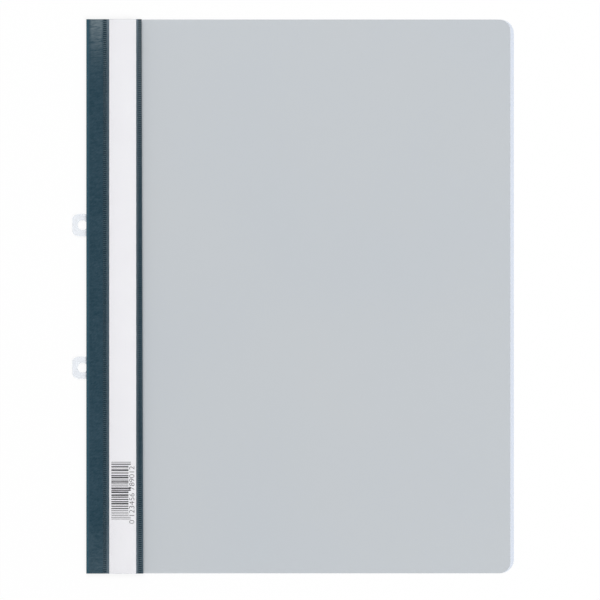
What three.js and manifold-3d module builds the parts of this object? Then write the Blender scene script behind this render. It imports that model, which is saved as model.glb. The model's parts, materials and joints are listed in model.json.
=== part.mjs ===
// Fastener folder for loose sheets, lying closed on its back.
// Two stiff films are the covers, and one dark soft film is folded round the spine and welded to both.
// A metal strip with two tongues holds the sheets under a cover bar. A filing strip lies beside the
// spine, and its two eyelets reach out through slots, so that the folder hangs on binder rings.
//
// Millimetres. X runs from the spine to the open edge, Y up the page and Z out of the front cover.
// The origin is the centre of the folder's outline, on the table that it lies on.

import * as THREE from 'three';
import { mergeVertices } from 'three/addons/utils/BufferGeometryUtils.js';
import Module from 'manifold-3d';

const wasm = await Module();
wasm.setup();

// Outline of the covers
const folderWidth = 240;
const folderHeight = 311;
const coverCornerRadius = 8;
const frontOverhang = 1.95; // the clear cover ends this far past the back cover

// Films, card and metal
const backFilm = 0.35;
const darkFilm = 0.35;
const clearFilm = 0.25;
const stripFilm = 0.4;
const labelCard = 0.2;
const tongueMetal = 0.3;
const barMetal = 0.35;

// Clearances
const layerGap = 0.05; // between layers that lie on each other
const coverGap = 0.15; // from the bar's highest point to the front flap
const foldGap = 0.15; // below the crease that the front cover turns about
const slotGap = 0.3; // round a tab or a tongue in its slot
const edgeGap = 0.3; // from the end of a slipped-in piece to the film beside it

// Weld seams, measured from the spine edge
const seamWidth = 1.9;
const firstSeam = 9.5; // near edge of the seam beside the spine
const pocketWidth = 18.1; // free width between the two seams
const flapWidthTop = 31.0; // the front flap's free edge runs a little aslant
const flapWidthBottom = 31.9;
const seamRise = 1.2; // length of each slope between a seam and its pocket
const backRamp = 1.0; // length of the slope up onto the edge of the back cover

// Ribs that the weld tool leaves across each seam
const ribPitch = 1.15;
const ribHeight = 0.12;
const ribValley = 0.02; // the lowest line between two ribs, above the film
const ribInset = 0.12; // from the edges of the seam to the ribs

// Label
const labelWidth = 15.1;
const labelStart = 12.9; // from the spine edge
const labelEndGap = 0.05; // the card ends just inside the pocket's open ends

// Spine
const spineFoldRadius = 1.0; // outer radius where the dark film turns up from the table
const spineFoldSteps = 6;

// Front cover's fall from the flap to the back cover
const fallLength = 88;
const fallSteps = 22;

// Holes for filing, and what passes through them
const holeSpacing = 80;
const tongueWidth = 5;
const tongueLength = 35; // from the bend to the tip
const tongueTipRadius = 2.45;
const bendRadius = 0.45; // to the middle of the strip's metal
const bendSteps = 5;

// Cover bar over the tongues
const barLength = 106;
const barWidth = 10;
const barHeight = 1.15;
const barEndRadius = 4;
const lipWidth = 1.0; // each side lip, folded in over the channel
const barSlotLength = 1.6; // along the bar

// Filing strip and its eyelets
const filingStripLength = 128;
const filingStripWidth = 27;
const filingStripRadius = 4;
const eyeletReach = 7.9; // the tab stands this far out of the spine
const eyeletHeight = 12.5;
const eyeletHole = 5.5;
const eyeletHoleReach = 2.2; // the hole's centre stands this far out of the spine
const eyeletCornerAcross = 4.4; // the tab's corners are quarter ellipses
const eyeletCornerAlong = 2.7;
const eyeletSteps = 7;
const eyeletHoleSteps = 28;

const coverCornerSteps = 10;
const cutMargin = 1; // how far a cutting tool stands past what it cuts

// Heights of the layers at the fastener, counted up from the table
const tongueStripBottom = backFilm + layerGap;
const tongueStripTop = tongueStripBottom + tongueMetal;
const backFlapBottom = tongueStripTop + layerGap;
const filingStripBottom = backFlapBottom + darkFilm + layerGap;
const filingStripTop = filingStripBottom + stripFilm;
const barBottom = filingStripTop + layerGap;
const tongueBottom = barBottom + barMetal + layerGap;
const barTop = barBottom + barHeight;
const frontFlapBottom = barTop + coverGap;
const frontFlapTop = frontFlapBottom + darkFilm;
const labelBottom = frontFlapTop + layerGap;
const clearSeamBottom = frontFlapTop + layerGap;
const clearPocketBottom = labelBottom + labelCard + layerGap;
const clearRestBottom = backFilm + layerGap;

// Places across the folder
const spineX = -folderWidth / 2;
const creaseX = spineX + darkFilm / 2;
const creaseZ = frontFlapBottom + darkFilm / 2;
const firstSeamX = spineX + firstSeam;
const pocketStartX = firstSeamX + seamWidth;
const pocketEndX = pocketStartX + pocketWidth;
const secondSeamEndX = pocketEndX + seamWidth;
const fastenerX = (pocketStartX + pocketEndX) / 2;
const holeOffsets = [-holeSpacing / 2, holeSpacing / 2];

// Materials
const plastic = (color, roughness, opacity = 1) => new THREE.MeshStandardMaterial({
  color, roughness, metalness: 0, opacity, transparent: opacity < 1,
});
const greyFilm = plastic(0xc5cacf, 0.45);
const navyFilm = plastic(0x2f4551, 0.5);
const clearPlastic = plastic(0xdde4ee, 0.12, 0.25);
const whiteCard = plastic(0xeceaed, 0.8);
const milkyPlastic = plastic(0xeaedf2, 0.35, 0.8);
const tinnedSteel = new THREE.MeshStandardMaterial({ color: 0xb9bcc0, roughness: 0.35, metalness: 1 });

// Turns a closed three.js geometry into a solid that can be joined or cut
function toSolid(geometry) {
  const bare = geometry.index ? geometry.toNonIndexed() : geometry.clone();
  bare.deleteAttribute('normal');
  bare.deleteAttribute('uv');
  const merged = mergeVertices(bare, 1e-5);
  return new wasm.Manifold(new wasm.Mesh({
    numProp: 3,
    vertProperties: new Float32Array(merged.attributes.position.array),
    triVerts: new Uint32Array(merged.index.array),
  }));
}

// Turns a solid back into a named, flat-shaded mesh
function toMesh(name, solid, material) {
  const { numProp, vertProperties, triVerts } = solid.getMesh();
  const corners = new Float32Array(triVerts.length * 3);
  triVerts.forEach((vertex, corner) => {
    for (let axis = 0; axis < 3; axis += 1) {
      corners[corner * 3 + axis] = vertProperties[vertex * numProp + axis];
    }
  });
  const geometry = new THREE.BufferGeometry();
  geometry.setAttribute('position', new THREE.BufferAttribute(corners, 3));
  geometry.computeVertexNormals();
  const mesh = new THREE.Mesh(geometry, material);
  mesh.name = name;
  return mesh;
}

// A flat sheet: an outline in X and Y, standing on a height
function sheet(outline, bottom, thickness) {
  const geometry = new THREE.ExtrudeGeometry(outline, { depth: thickness, bevelEnabled: false });
  return toSolid(geometry.translate(0, 0, bottom));
}

// A film that is bent across the folder: an outline in X and Z, carried along Y
function bentFilm(outline, length) {
  const geometry = new THREE.ExtrudeGeometry(outline, { depth: length, bevelEnabled: false });
  return toSolid(geometry.rotateX(Math.PI / 2).translate(0, length / 2, 0));
}

// A strip that is bent along the folder: an outline in Y and Z, carried across X
function bentStrip(outline, width, centreX) {
  const geometry = new THREE.ExtrudeGeometry(outline, { depth: width, bevelEnabled: false });
  geometry.rotateX(Math.PI / 2).rotateZ(Math.PI / 2);
  return toSolid(geometry.translate(centreX - width / 2, 0, 0));
}

// Points on an arc, both ends included, with angles in degrees
function arc(centreX, centreY, radiusX, radiusY, fromAngle, toAngle, steps) {
  return Array.from({ length: steps + 1 }, (_, step) => {
    const angle = THREE.MathUtils.degToRad(fromAngle + (toAngle - fromAngle) * step / steps);
    return new THREE.Vector2(centreX + radiusX * Math.cos(angle), centreY + radiusY * Math.sin(angle));
  });
}

// Closes a film's section of even thickness around its middle line
function filmSection(middleLine, thickness) {
  const offsets = middleLine.map((point, index) => {
    const before = middleLine[Math.max(index - 1, 0)];
    const after = middleLine[Math.min(index + 1, middleLine.length - 1)];
    const arriving = point.clone().sub(index ? before : point).normalize();
    const leaving = after.clone().sub(index < middleLine.length - 1 ? point : after).normalize();
    const along = arriving.clone().add(leaving).normalize();
    const straight = index && index < middleLine.length - 1 ? leaving : along;
    const mitre = thickness / 2 / Math.max(along.dot(straight), 0.5);
    return new THREE.Vector2(-along.y, along.x).multiplyScalar(mitre);
  });
  const left = middleLine.map((point, index) => point.clone().add(offsets[index]));
  const right = middleLine.map((point, index) => point.clone().sub(offsets[index]));
  return new THREE.Shape([...left, ...right.reverse()]);
}

const point = (x, y) => new THREE.Vector2(x, y);

// A rectangle with its own radius at each corner, counted from the lower left, anticlockwise
function roundedRectangle(left, bottom, right, top, radii, steps) {
  const [lowerLeft, lowerRight, upperRight, upperLeft] = radii;
  const corner = (x, y, radius, startAngle) => (radius > 0
    ? arc(x, y, radius, radius, startAngle, startAngle + 90, steps)
    : [point(x, y)]);
  return new THREE.Shape([
    ...corner(left + lowerLeft, bottom + lowerLeft, lowerLeft, 180),
    ...corner(right - lowerRight, bottom + lowerRight, lowerRight, 270),
    ...corner(right - upperRight, top - upperRight, upperRight, 0),
    ...corner(left + upperLeft, top - upperLeft, upperLeft, 90),
  ]);
}

// Two covers: square corners at the spine, round ones at the open edge
function coverOutline(left, right) {
  const radii = [0, coverCornerRadius, coverCornerRadius, 0];
  return roundedRectangle(left, -folderHeight / 2, right, folderHeight / 2, radii, coverCornerSteps);
}

// Upright cutting block round a place on the folder
function block(centreX, centreY, sizeX, sizeY, bottom, top) {
  const geometry = new THREE.BoxGeometry(sizeX, sizeY, top - bottom);
  return toSolid(geometry.translate(centreX, centreY, (bottom + top) / 2));
}

// Slots that the two tongues pass through, in a layer between two heights
function cutTongueSlots(solid, bottom, top) {
  const sizeX = tongueWidth + 2 * slotGap;
  const sizeY = tongueMetal + 2 * slotGap;
  return holeOffsets.reduce((cut, y) => cut.subtract(
    block(fastenerX, y, sizeX, sizeY, bottom - cutMargin, top + cutMargin),
  ), solid);
}

// Row of pointed ribs across one weld seam, standing on the film's top face
function weldRibs(seamStartX, filmTop) {
  const ribCount = Math.floor((folderHeight - 2 * ribInset) / ribPitch);
  const startY = -ribCount * ribPitch / 2;
  const root = filmTop - ribHeight / 2;
  const teeth = Array.from({ length: ribCount }, (_, rib) => [
    point(startY + rib * ribPitch, filmTop + ribValley),
    point(startY + (rib + 0.5) * ribPitch, filmTop + ribHeight),
  ]).flat();
  const outline = new THREE.Shape([
    point(-startY, root), point(startY, root), ...teeth, point(-startY, filmTop + ribValley),
  ]);
  return bentStrip(outline, seamWidth - 2 * ribInset, seamStartX + seamWidth / 2);
}

// Adds the ribs of both weld seams to a film whose top face is flat there
function addWeldRibs(film, filmTop) {
  return film.add(weldRibs(firstSeamX, filmTop)).add(weldRibs(pocketEndX, filmTop));
}

// Back cover: stiff grey film, flat on the table
function backCover() {
  const outline = coverOutline(firstSeamX, folderWidth / 2 - frontOverhang);
  return toMesh('back_cover', sheet(outline, 0, backFilm), greyFilm);
}

// Back half of the dark film: it is welded onto the grey film along two seams, is raised between them
// over the tongue strip, and turns up from the table into the spine wall
function spineBack() {
  const tableZ = darkFilm / 2;
  const seamZ = backFilm + layerGap + darkFilm / 2;
  const pocketZ = backFlapBottom + darkFilm / 2;
  const foldMiddle = spineFoldRadius - darkFilm / 2;
  const wallTop = frontFlapBottom - foldGap;
  const middleLine = [
    point(secondSeamEndX, seamZ),
    point(pocketEndX, seamZ),
    point(pocketEndX - seamRise, pocketZ),
    point(pocketStartX + seamRise, pocketZ),
    point(pocketStartX, seamZ),
    point(firstSeamX - edgeGap, seamZ),
    point(firstSeamX - edgeGap - backRamp, tableZ),
    ...arc(spineX + spineFoldRadius, spineFoldRadius, foldMiddle, foldMiddle, 270, 180, spineFoldSteps),
    point(creaseX, wallTop),
  ];
  const film = bentFilm(filmSection(middleLine, darkFilm), folderHeight);
  const slotted = holeOffsets.reduce((cut, y) => cut.subtract(block(
    creaseX, y, 2 * darkFilm, eyeletHeight + 2 * slotGap,
    filingStripBottom - slotGap, filingStripTop + slotGap,
  )), film);
  const punched = cutTongueSlots(slotted, backFlapBottom, pocketZ);
  return toMesh('spine_back', addWeldRibs(punched, seamZ + darkFilm / 2), navyFilm);
}

// Front half of the dark film: flat, with a round crease at the spine and a free edge cut aslant
function spineFront() {
  const crease = arc(creaseX, creaseZ, darkFilm / 2, darkFilm / 2, 90, 270, spineFoldSteps);
  const widest = spineX + Math.max(flapWidthTop, flapWidthBottom);
  const section = new THREE.Shape([...crease, point(widest, frontFlapBottom), point(widest, frontFlapTop)]);
  const keep = new THREE.Shape([
    point(spineX - cutMargin, -folderHeight / 2 - cutMargin),
    point(spineX + flapWidthBottom, -folderHeight / 2),
    point(spineX + flapWidthTop, folderHeight / 2),
    point(spineX - cutMargin, folderHeight / 2 + cutMargin),
  ]);
  const trim = sheet(keep, frontFlapBottom - cutMargin, darkFilm + 2 * cutMargin);
  return toMesh('spine_front', bentFilm(section, folderHeight).intersect(trim), navyFilm);
}

// Front cover: clear stiff film, pressed onto the flap at both seams and raised over the label, then
// falling in a long soft curve onto the back cover
function frontCover() {
  const seamZ = clearSeamBottom + clearFilm / 2;
  const pocketZ = clearPocketBottom + clearFilm / 2;
  const restZ = clearRestBottom + clearFilm / 2;
  const fallStart = spineX + Math.max(flapWidthTop, flapWidthBottom) + edgeGap;
  const fall = Array.from({ length: fallSteps + 1 }, (_, step) => {
    const share = step / fallSteps;
    const drop = (1 - Math.cos(Math.PI * share)) / 2;
    return point(fallStart + fallLength * share, seamZ + (restZ - seamZ) * drop);
  });
  const middleLine = [
    point(firstSeamX, seamZ),
    point(pocketStartX, seamZ),
    point(pocketStartX + seamRise, pocketZ),
    point(pocketEndX - seamRise, pocketZ),
    point(pocketEndX, seamZ),
    ...fall,
    point(folderWidth / 2, restZ),
  ];
  const film = bentFilm(filmSection(middleLine, clearFilm), folderHeight);
  const corners = sheet(
    coverOutline(spineX, folderWidth / 2), -cutMargin, clearPocketBottom + clearFilm + 2 * cutMargin,
  );
  return toMesh('front_cover', addWeldRibs(film.intersect(corners), seamZ + clearFilm / 2), clearPlastic);
}

// Label: a card strip, as long as the pocket that it is slipped into
function labelInsert() {
  const left = spineX + labelStart;
  const outline = roundedRectangle(
    left, -folderHeight / 2 + labelEndGap, left + labelWidth, folderHeight / 2 - labelEndGap, [0, 0, 0, 0], 1,
  );
  return toMesh('label_insert', sheet(outline, labelBottom, labelCard), whiteCard);
}

// Tongue strip: one strip of metal, lying in the back pocket between the two holes. At each hole it
// turns up through the layers and then in along the bar's channel, with a round tip
function tongueStrip() {
  const lowZ = tongueStripBottom + tongueMetal / 2;
  const highZ = tongueBottom + tongueMetal / 2;
  const endY = holeSpacing / 2;
  const half = [
    ...arc(endY - bendRadius, lowZ + bendRadius, bendRadius, bendRadius, -90, 0, bendSteps),
    ...arc(endY - bendRadius, highZ - bendRadius, bendRadius, bendRadius, 0, 90, bendSteps),
    point(endY - tongueLength, highZ),
  ];
  const otherHalf = half.map(({ x, y }) => point(-x, y)).reverse();
  const strip = bentStrip(filmSection([...otherHalf, ...half], tongueMetal), tongueWidth, fastenerX);
  const tipFrame = (side) => {
    const tipY = side * (endY - tongueLength);
    const rootY = tipY + side * tongueTipRadius;
    const left = fastenerX - tongueWidth / 2 - cutMargin;
    const right = fastenerX + tongueWidth / 2 + cutMargin;
    const outside = new THREE.Shape([
      point(left, tipY - side * cutMargin), point(right, tipY - side * cutMargin),
      point(right, rootY), ...arc(fastenerX, rootY, tongueTipRadius, tongueTipRadius, 0, -side * 180, 12),
      point(left, rootY),
    ]);
    return sheet(outside, tongueBottom - layerGap / 2, tongueMetal + layerGap);
  };
  const rounded = strip.subtract(tipFrame(1)).subtract(tipFrame(-1));
  return toMesh('tongue_strip', rounded, tinnedSteel);
}

// Cover bar: a shallow channel with its side lips folded in over the tongues and a slot at each hole
function coverBar() {
  const left = fastenerX - barWidth / 2;
  const right = fastenerX + barWidth / 2;
  const section = new THREE.Shape([
    point(left, barBottom), point(right, barBottom), point(right, barTop),
    point(right - lipWidth, barTop), point(right - lipWidth, barTop - barMetal),
    point(right - barMetal, barTop - barMetal), point(right - barMetal, barBottom + barMetal),
    point(left + barMetal, barBottom + barMetal), point(left + barMetal, barTop - barMetal),
    point(left + lipWidth, barTop - barMetal), point(left + lipWidth, barTop), point(left, barTop),
  ]);
  const outline = roundedRectangle(
    left, -barLength / 2, right, barLength / 2,
    [barEndRadius, barEndRadius, barEndRadius, barEndRadius], 6,
  );
  const ends = sheet(outline, barBottom - cutMargin, barHeight + 2 * cutMargin);
  const channel = bentFilm(section, barLength).intersect(ends);
  const slotted = holeOffsets.reduce((cut, y) => cut.subtract(block(
    fastenerX, y, tongueWidth + 2 * slotGap, barSlotLength,
    barBottom - cutMargin, barBottom + barMetal + layerGap / 2,
  )), channel);
  return toMesh('cover_bar', slotted, tinnedSteel);
}

// Eyelet tab's outline, from its upper to its lower end on the filing strip's edge
function eyeletTab(rootX, y) {
  const acrossX = spineX - eyeletReach + eyeletCornerAcross;
  const top = y + eyeletHeight / 2;
  const bottom = y - eyeletHeight / 2;
  const corner = (centreY, startAngle) => arc(
    acrossX, centreY, eyeletCornerAcross, eyeletCornerAlong, startAngle, startAngle + 90, eyeletSteps,
  );
  return [
    point(rootX, top),
    ...corner(top - eyeletCornerAlong, 90),
    ...corner(bottom + eyeletCornerAlong, 180),
    point(rootX, bottom),
  ];
}

// Filing strip: milky film beside the spine, threaded on the tongues, with two eyelet tabs whose holes
// lie close outside the spine
function filingStrip() {
  const left = spineX + darkFilm + edgeGap;
  const radii = Array(4).fill(filingStripRadius);
  const body = roundedRectangle(
    left, -filingStripLength / 2, left + filingStripWidth, filingStripLength / 2, radii, 6,
  );
  const tabs = [...holeOffsets].reverse().flatMap((y) => eyeletTab(left, y));
  const outline = new THREE.Shape([...body.getPoints(), ...tabs]);
  outline.holes = holeOffsets.map((y) => new THREE.Path(arc(
    spineX - eyeletHoleReach, y, eyeletHole / 2, eyeletHole / 2, 360, 360 / eyeletHoleSteps, eyeletHoleSteps - 1,
  )));
  const strip = sheet(outline, filingStripBottom, stripFilm);
  return toMesh('filing_strip', cutTongueSlots(strip, filingStripBottom, filingStripTop), milkyPlastic);
}

const folder = new THREE.Group();
folder.add(
  backCover(), spineBack(), tongueStrip(), filingStrip(), coverBar(),
  spineFront(), labelInsert(), frontCover(),
);

export default folder;
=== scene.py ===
# %% [markdown]
# # A fastener folder, dressed for the camera
#
# The folder lies closed on its back, as in a catalogue picture. It is made of films: a grey one
# behind, a clear one in front, and a dark embossed one that is folded round the spine and welded to
# both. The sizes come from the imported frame, so every film goes where the real layer is. This
# lesson models each layer as a thin sheet with real thickness, and gives each its own finish.

import json
import math

import bmesh
import bpy
import numpy as np
from mathutils import Matrix, Vector


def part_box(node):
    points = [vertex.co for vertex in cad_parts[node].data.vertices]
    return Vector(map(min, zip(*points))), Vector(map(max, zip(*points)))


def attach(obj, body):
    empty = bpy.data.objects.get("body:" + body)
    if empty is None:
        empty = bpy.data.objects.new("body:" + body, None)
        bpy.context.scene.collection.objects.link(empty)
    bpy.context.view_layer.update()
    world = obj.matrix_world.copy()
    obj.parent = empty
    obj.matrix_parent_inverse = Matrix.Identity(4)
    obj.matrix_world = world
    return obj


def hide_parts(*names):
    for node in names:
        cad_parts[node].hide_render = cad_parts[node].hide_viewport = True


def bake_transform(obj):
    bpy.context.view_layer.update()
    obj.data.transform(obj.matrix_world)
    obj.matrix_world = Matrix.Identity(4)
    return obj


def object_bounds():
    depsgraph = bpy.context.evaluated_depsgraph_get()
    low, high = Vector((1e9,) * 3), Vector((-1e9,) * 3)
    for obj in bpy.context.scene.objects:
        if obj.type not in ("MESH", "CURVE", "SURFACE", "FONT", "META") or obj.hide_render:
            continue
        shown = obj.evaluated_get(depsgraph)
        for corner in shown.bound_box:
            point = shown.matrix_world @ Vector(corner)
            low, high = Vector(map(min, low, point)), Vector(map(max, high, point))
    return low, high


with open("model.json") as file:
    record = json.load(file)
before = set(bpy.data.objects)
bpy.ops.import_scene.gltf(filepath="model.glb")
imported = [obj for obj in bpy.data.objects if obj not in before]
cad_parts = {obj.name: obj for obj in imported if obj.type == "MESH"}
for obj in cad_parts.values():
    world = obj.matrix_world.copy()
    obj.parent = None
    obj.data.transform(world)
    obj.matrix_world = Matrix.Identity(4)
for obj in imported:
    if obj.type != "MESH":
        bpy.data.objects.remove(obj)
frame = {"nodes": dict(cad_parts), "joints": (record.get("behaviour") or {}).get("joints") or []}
cad_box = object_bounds()
MM = 0.001

# %% [markdown]
# ## The camera
#
# A catalogue picture of something flat is taken from straight above. A long lens keeps the edges
# parallel, as they are on the page. The distance follows from the width of the picture and the lens,
# and it is counted from half way up the folder, so that its lower and upper layers both fit.

# %% Camera straight above
PICTURE_SIDE = 600
MM_PER_PIXEL = 0.5613
LENS = 200.0
SENSOR = 36.0
FOLDER_CENTRE_PIXEL = (300.2, 296.4)

picture_width = PICTURE_SIDE * MM_PER_PIXEL * MM
aim_x = (PICTURE_SIDE / 2 - FOLDER_CENTRE_PIXEL[0]) * MM_PER_PIXEL * MM
aim_y = (FOLDER_CENTRE_PIXEL[1] - PICTURE_SIDE / 2) * MM_PER_PIXEL * MM
camera_data = bpy.data.cameras.new("camera")
camera_data.lens = LENS
camera_data.sensor_width = SENSOR
camera = bpy.data.objects.new("camera", camera_data)
middle_height = (cad_box[0][2] + cad_box[1][2]) / 2
camera.location = (aim_x, aim_y, middle_height + picture_width * LENS / SENSOR)
bpy.context.scene.collection.objects.link(camera)
bpy.context.scene.camera = camera
print("camera height:", round(camera.location.z, 3), "m")

# %% [markdown]
# ## Where the layers lie
#
# Each layer of the real folder rests on the one below it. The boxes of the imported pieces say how
# high each one starts and ends, so no height is guessed here.

# %% Read the layers from the frame
box = {name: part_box(name) for name in frame["nodes"]}
SPINE_X = box["spine_front"][0].x
HALF_HEIGHT = box["back_cover"][1].y
DARK_FILM = box["spine_front"][1].z - box["spine_front"][0].z
FLAP_Z = (box["spine_front"][0].z + box["spine_front"][1].z) / 2
LAYER_GAP = 0.05 * MM
SEAM_WIDTH = 1.9 * MM
SEAM_RISE = 1.2 * MM
FIRST_SEAM_X = box["front_cover"][0].x
POCKET_START_X = FIRST_SEAM_X + SEAM_WIDTH
SECOND_SEAM_END_X = box["spine_back"][1].x
POCKET_END_X = SECOND_SEAM_END_X - SEAM_WIDTH
FLAP_WIDTH_TOP = 31.0 * MM
FLAP_WIDTH_BOTTOM = 32.0 * MM
BACK_FLAP_SHORTER = 0.6 * MM
print("front flap lies", round(FLAP_Z / MM, 3), "mm above the table")

# %% [markdown]
# ## Small tools
#
# The same few steps come back for every film: make a mesh, give it thickness, round its edges, and
# turn its modifiers into plain faces. Each step is one short function.

# %% Mesh helpers
FILM_RIM = 0.04 * MM


def add_object(name, mesh, material):
    """A new object at the origin, with one material."""
    piece = bpy.data.objects.new(name, mesh)
    bpy.context.scene.collection.objects.link(piece)
    mesh.materials.clear()
    mesh.materials.append(material)
    return piece


def grid_mesh(name, corners):
    """A sheet of quads from an array of points, counted as rows, columns, x y z."""
    rows, columns = corners.shape[:2]
    index = np.arange(rows * columns).reshape(rows, columns)
    faces = np.stack(
        [index[:-1, :-1], index[:-1, 1:], index[1:, 1:], index[1:, :-1]], axis=-1
    )
    mesh = bpy.data.meshes.new(name)
    mesh.from_pydata(corners.reshape(-1, 3).tolist(), [], faces.reshape(-1, 4).tolist())
    return mesh


def block_mesh(name, centre, size):
    """A block with its middle at a point."""
    shape = bmesh.new()
    bmesh.ops.create_cube(shape, size=1.0)
    bmesh.ops.scale(shape, vec=Vector(size), verts=shape.verts)
    bmesh.ops.translate(shape, vec=Vector(centre), verts=shape.verts)
    mesh = bpy.data.meshes.new(name)
    shape.to_mesh(mesh)
    shape.free()
    return mesh


def shown_mesh(piece):
    """The faces that a piece's modifiers or its curve show, as a mesh of their own."""
    bpy.context.view_layer.update()
    shown = piece.evaluated_get(bpy.context.evaluated_depsgraph_get())
    return bpy.data.meshes.new_from_object(shown)


def settle(piece):
    """Turns the piece's modifiers into plain faces."""
    mesh = shown_mesh(piece)
    piece.modifiers.clear()
    piece.data = mesh
    return piece


def smooth_by_angle(piece, degrees=35):
    """Smooth shading, with a crisp edge wherever the surface turns by more than that."""
    shape = bmesh.new()
    shape.from_mesh(piece.data)
    for face in shape.faces:
        face.smooth = True
    for edge in shape.edges:
        edge.smooth = edge.calc_face_angle(math.pi) < math.radians(degrees)
    shape.to_mesh(piece.data)
    shape.free()
    return piece


def ease_edges(piece, width, segments=2, sharper_than=50):
    """Bevels the edges that turn by more than an angle, which is in degrees."""
    rim = piece.modifiers.new("rim", "BEVEL")
    rim.width = width
    rim.segments = segments
    rim.limit_method = "ANGLE"
    rim.angle_limit = math.radians(sharper_than)
    return settle(piece)


def thicken(piece, thickness):
    """Gives a sheet its real thickness, half to each side, and eases the rim."""
    solid = piece.modifiers.new("thickness", "SOLIDIFY")
    solid.thickness = thickness
    solid.offset = 0
    solid.use_even_offset = True
    return smooth_by_angle(ease_edges(piece, FILM_RIM, segments=1, sharper_than=60))


def rounded_line(points, rounds=2):
    """Cuts the corners of a line again and again, which bends it softly."""
    line = np.array(points, float)
    for _ in range(rounds):
        before = line[:-1] * 0.75 + line[1:] * 0.25
        after = line[:-1] * 0.25 + line[1:] * 0.75
        inner = np.stack([before, after], axis=1).reshape(-1, 2)[1:-1]
        line = np.vstack([line[:1], inner, line[-1:]])
    return line


def finished(piece, body, slot, *nodes):
    """Says which body carries a piece and hides the solids it stands for. The slot is not used."""
    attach(piece, body)
    if nodes:
        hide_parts(*nodes)
    print(piece.name, "has", len(piece.data.polygons), "faces")
    return piece

# %% [markdown]
# ## A short way to write materials
#
# A finish is a few textures feeding one shader. These helpers add a node and join it up in one
# line, so that each material below reads like a recipe.

# %% Material helpers
def new_material(name):
    """An empty material with its output and one Principled shader."""
    material = bpy.data.materials.new(name)
    material.use_nodes = True
    tree = material.node_tree
    shader = next(n for n in tree.nodes if n.type == "BSDF_PRINCIPLED")
    return material, tree, shader


def feed(tree, socket, value):
    """Sets an input to a value, or joins it to another node's output."""
    if isinstance(value, bpy.types.NodeSocket):
        tree.links.new(value, socket)
    else:
        socket.default_value = value


def feed_all(tree, node, **inputs):
    """Feeds several inputs by name. An underscore stands for the space in a name."""
    for name, value in inputs.items():
        feed(tree, node.inputs[name.replace("_", " ")], value)


def add_node(tree, kind, settings=(), **inputs):
    """Adds a node with its settings, and feeds its inputs."""
    node = tree.nodes.new(kind)
    for name, value in dict(settings).items():
        setattr(node, name, value)
    feed_all(tree, node, **inputs)
    return node


def noise(tree, place, scale, detail=2.0, roughness=0.5):
    """A noise texture's grey output, with scale counted in features a metre."""
    node = add_node(
        tree, "ShaderNodeTexNoise", Vector=place, Scale=scale, Detail=detail, Roughness=roughness
    )
    return node.outputs["Fac"]


REST_PLACE = "rest_place"


def object_place(tree, length=(1.0, 1.0, 1.0), turn=0.0, bends=False):
    """The point on the piece in metres. Length draws a grain out along each axis, after the turn.
    A piece that bends carries its own places at rest, so that its pattern stays on it."""
    if bends:
        place = add_node(tree, "ShaderNodeAttribute", {"attribute_name": REST_PLACE}).outputs["Vector"]
    else:
        place = tree.nodes.new("ShaderNodeTexCoord").outputs["Object"]
    return add_node(
        tree, "ShaderNodeMapping", {"vector_type": "TEXTURE"},
        Vector=place, Rotation=(0, 0, turn), Scale=length,
    ).outputs["Vector"]


def keep_rest_place(piece):
    """Writes every point's place at rest on the mesh, for the materials to read."""
    places = piece.data.attributes.new(REST_PLACE, "FLOAT_VECTOR", "POINT")
    for entry, vertex in zip(places.data, piece.data.vertices):
        entry.vector = vertex.co


def place_along(tree, axis, bends=False):
    """How far the point lies along one axis of the piece, in metres."""
    parts = add_node(tree, "ShaderNodeSeparateXYZ", Vector=object_place(tree, bends=bends))
    return parts.outputs[axis]


def maths(tree, operation, first, second=0.0):
    """One sum on two values, each a number or another node's output."""
    node = add_node(tree, "ShaderNodeMath", {"operation": operation})
    feed(tree, node.inputs[0], first)
    feed(tree, node.inputs[1], second)
    return node.outputs["Value"]


def weighted(tree, *parts):
    """The sum of several grey values, each with its weight."""
    total = 0.0
    for value, weight in parts:
        total = maths(tree, "ADD", maths(tree, "MULTIPLY", value, weight), total)
    return total


def spread(tree, value, low, high, from_low=0.3, from_high=0.7):
    """Stretches a grey value onto another range."""
    node = add_node(
        tree, "ShaderNodeMapRange",
        Value=value, From_Min=from_low, From_Max=from_high, To_Min=low, To_Max=high,
    )
    return node.outputs["Result"]


def colour_between(tree, share, first, second):
    """A colour that runs from the first to the second as the share goes from 0 to 1."""
    ramp = add_node(tree, "ShaderNodeValToRGB", Fac=share)
    ramp.color_ramp.elements[0].color = (*first, 1)
    ramp.color_ramp.elements[1].color = (*second, 1)
    return ramp.outputs["Color"]


def tinted(tree, share, first, second):
    """The first colour, which gives way to a plain second one as the share goes from 0 to 1.
    The node has a pair of inputs for each kind of data, and the colours are the seventh and eighth."""
    mix = add_node(tree, "ShaderNodeMix", {"data_type": "RGBA"}, Factor=share)
    feed(tree, mix.inputs[6], first)
    feed(tree, mix.inputs[7], (*second, 1))
    return mix.outputs[2]


def bump(tree, shader, height, distance):
    """Joins a height to the shader's normal. The distance is the real depth in metres."""
    node = add_node(tree, "ShaderNodeBump", Height=height, Distance=distance)
    feed_all(tree, shader, Normal=node.outputs["Normal"])


def show_mix(tree, share, first, second):
    """Puts a mix of two nodes' shaders on the surface: the second grows with the share."""
    mixed = add_node(tree, "ShaderNodeMixShader", Fac=share)
    feed(tree, mixed.inputs[1], first.outputs[0])
    feed(tree, mixed.inputs[2], second.outputs[0])
    output = next(n for n in tree.nodes if n.type == "OUTPUT_MATERIAL")
    feed_all(tree, output, Surface=mixed.outputs["Shader"])

# %% [markdown]
# ## Dark embossed film
#
# The spine is soft plastic, embossed like fine leather: short creases that run slantwise, a mesh of
# pebbles 0.6 mm apart, and longer wrinkles across the strip. Stretched noises give the creases and
# the wrinkles, and Voronoi cells give the mesh. All go into the bump. The noises also change the
# colour and the wrinkles the roughness, so that the grain still shows where the light is soft.

# %% Dark film material
SLANT = math.radians(40)


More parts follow.
